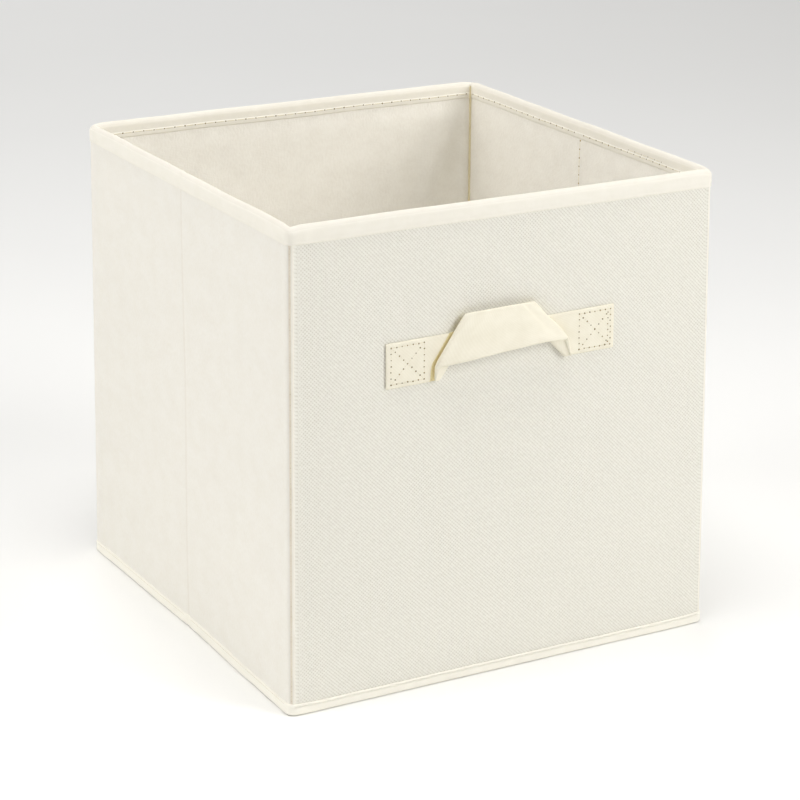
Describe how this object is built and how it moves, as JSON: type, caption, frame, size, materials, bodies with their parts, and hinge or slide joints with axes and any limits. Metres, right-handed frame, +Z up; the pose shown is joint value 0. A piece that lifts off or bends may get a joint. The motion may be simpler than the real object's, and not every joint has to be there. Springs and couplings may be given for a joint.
{
  "type": "foldable fabric storage bin",
  "caption": "Open-topped cube of ivory non-woven cloth over boards, with bound rim and hem, folding side walls and a pleated strap handle on the front.",
  "frame": {"origin": "centre of the outline of the walls, on the plane that the bin stands on", "axes": "+Z up; the front wall with the handle faces -Y; +X is to the right when looking at the front from outside along +Y"},
  "size_m": [0.3128, 0.3252, 0.32],
  "materials": {
    "front_cloth": "matte",
    "cover_cloth": "matte",
    "lining": "matte",
    "binding": "matte",
    "strap": "matte",
    "thread": "matte",
    "board": "matte"
  },
  "bodies": {
    "front_wall": {"front_board": "board", "front_cover": "front_cloth", "front_hem": "binding", "front_hem_stitching": "thread", "front_left_welt": "binding", "front_lining": "lining", "front_right_welt": "binding", "front_rim": "binding", "front_rim_stitching": "thread", "handle_left_end": "strap", "handle_left_pleat": "strap", "handle_left_stitching": "thread", "handle_right_end": "strap", "handle_right_pleat": "strap", "handle_right_stitching": "thread"},
    "back_wall": {"back_board": "board", "back_cover": "cover_cloth", "back_hem": "binding", "back_hem_stitching": "thread", "back_lining": "lining", "back_rim": "binding", "back_rim_stitching": "thread"},
    "right_front_wall": {"right_front_board": "board", "right_front_cover": "cover_cloth", "right_front_hem": "binding", "right_front_hem_stitching": "thread", "right_front_lining": "lining", "right_front_rim": "binding", "right_front_rim_stitching": "thread"},
    "right_rear_wall": {"right_rear_board": "board", "right_rear_cover": "cover_cloth", "right_rear_hem": "binding", "right_rear_hem_stitching": "thread", "right_rear_lining": "lining", "right_rear_rim": "binding", "right_rear_rim_stitching": "thread"},
    "left_front_wall": {"left_front_board": "board", "left_front_cover": "cover_cloth", "left_front_hem": "binding", "left_front_hem_stitching": "thread", "left_front_lining": "lining", "left_front_rim": "binding", "left_front_rim_stitching": "thread"},
    "left_rear_wall": {"left_rear_board": "board", "left_rear_cover": "cover_cloth", "left_rear_hem": "binding", "left_rear_hem_stitching": "thread", "left_rear_lining": "lining", "left_rear_rim": "binding", "left_rear_rim_stitching": "thread"},
    "floor_front_fold": {"floor_front": "lining"},
    "floor_rear_fold": {"floor_rear": "lining"},
    "floor_right_front_fold": {"floor_right_front": "lining"},
    "floor_right_rear_fold": {"floor_right_rear": "lining"},
    "floor_left_front_fold": {"floor_left_front": "lining"},
    "floor_left_rear_fold": {"floor_left_rear": "lining"},
    "grip": {"handle_grip": "strap"}
  },
  "joints": [
    {"name": "fold", "type": "hinge", "parent": "front_wall", "child": "right_front_wall", "pos_m": [0.151, -0.1478, 0.16], "axis": [0, 0, 1], "range_deg": [0, 89], "deforming": ["floor_right_front", "floor_right_rear", "floor_left_front", "floor_left_rear"]},
    {"name": "right_crease", "type": "hinge", "parent": "right_front_wall", "child": "right_rear_wall", "pos_m": [0.1568, 0, 0.16], "axis": [0, 0, 1], "range_deg": [-178, 0]},
    {"name": "right_back_corner", "type": "hinge", "parent": "right_rear_wall", "child": "back_wall", "pos_m": [0.151, 0.1478, 0.16], "axis": [0, 0, 1], "range_deg": [0, 89]},
    {"name": "left_front_corner", "type": "hinge", "parent": "front_wall", "child": "left_front_wall", "pos_m": [-0.151, -0.1478, 0.16], "axis": [0, 0, 1], "range_deg": [-89, 0]},
    {"name": "left_crease", "type": "hinge", "parent": "left_front_wall", "child": "left_rear_wall", "pos_m": [-0.1568, 0, 0.16], "axis": [0, 0, 1], "range_deg": [0, 178]},
    {"name": "floor_front_turn", "type": "hinge", "parent": "front_wall", "child": "floor_front_fold", "pos_m": [0, -0.1506, 0.0008], "axis": [1, 0, 0], "range_deg": [0, 89]},
    {"name": "floor_rear_turn", "type": "hinge", "parent": "back_wall", "child": "floor_rear_fold", "pos_m": [0, 0.1506, 0.0008], "axis": [-1, 0, 0], "range_deg": [0, 89]},
    {"name": "floor_right_front_turn", "type": "hinge", "parent": "right_front_wall", "child": "floor_right_front_fold", "pos_m": [0.1506, -0.075, 0.0008], "axis": [0, 1, 0], "range_deg": [0, 89]},
    {"name": "floor_right_rear_turn", "type": "hinge", "parent": "right_rear_wall", "child": "floor_right_rear_fold", "pos_m": [0.1506, 0.075, 0.0008], "axis": [0, 1, 0], "range_deg": [0, 89]},
    {"name": "floor_left_front_turn", "type": "hinge", "parent": "left_front_wall", "child": "floor_left_front_fold", "pos_m": [-0.1506, -0.075, 0.0008], "axis": [0, -1, 0], "range_deg": [0, 89]},
    {"name": "floor_left_rear_turn", "type": "hinge", "parent": "left_rear_wall", "child": "floor_left_rear_fold", "pos_m": [-0.1506, 0.075, 0.0008], "axis": [0, -1, 0], "range_deg": [0, 89]},
    {"name": "handle_pull", "type": "slide", "parent": "front_wall", "child": "grip", "axis": [0, -1, 0], "range_m": [0, 0.018], "deforming": ["handle_left_pleat", "handle_right_pleat"]}
  ],
  "couplings": [
    {"joint": "right_crease", "follows": "fold", "ratio": -2},
    {"joint": "right_back_corner", "follows": "fold", "ratio": 1},
    {"joint": "left_front_corner", "follows": "fold", "ratio": -1},
    {"joint": "left_crease", "follows": "fold", "ratio": 2},
    {"joint": "floor_front_turn", "follows": "fold", "ratio": 1},
    {"joint": "floor_rear_turn", "follows": "fold", "ratio": 1},
    {"joint": "floor_right_front_turn", "follows": "fold", "ratio": 1},
    {"joint": "floor_right_rear_turn", "follows": "fold", "ratio": 1},
    {"joint": "floor_left_front_turn", "follows": "fold", "ratio": 1},
    {"joint": "floor_left_rear_turn", "follows": "fold", "ratio": 1}
  ]
}
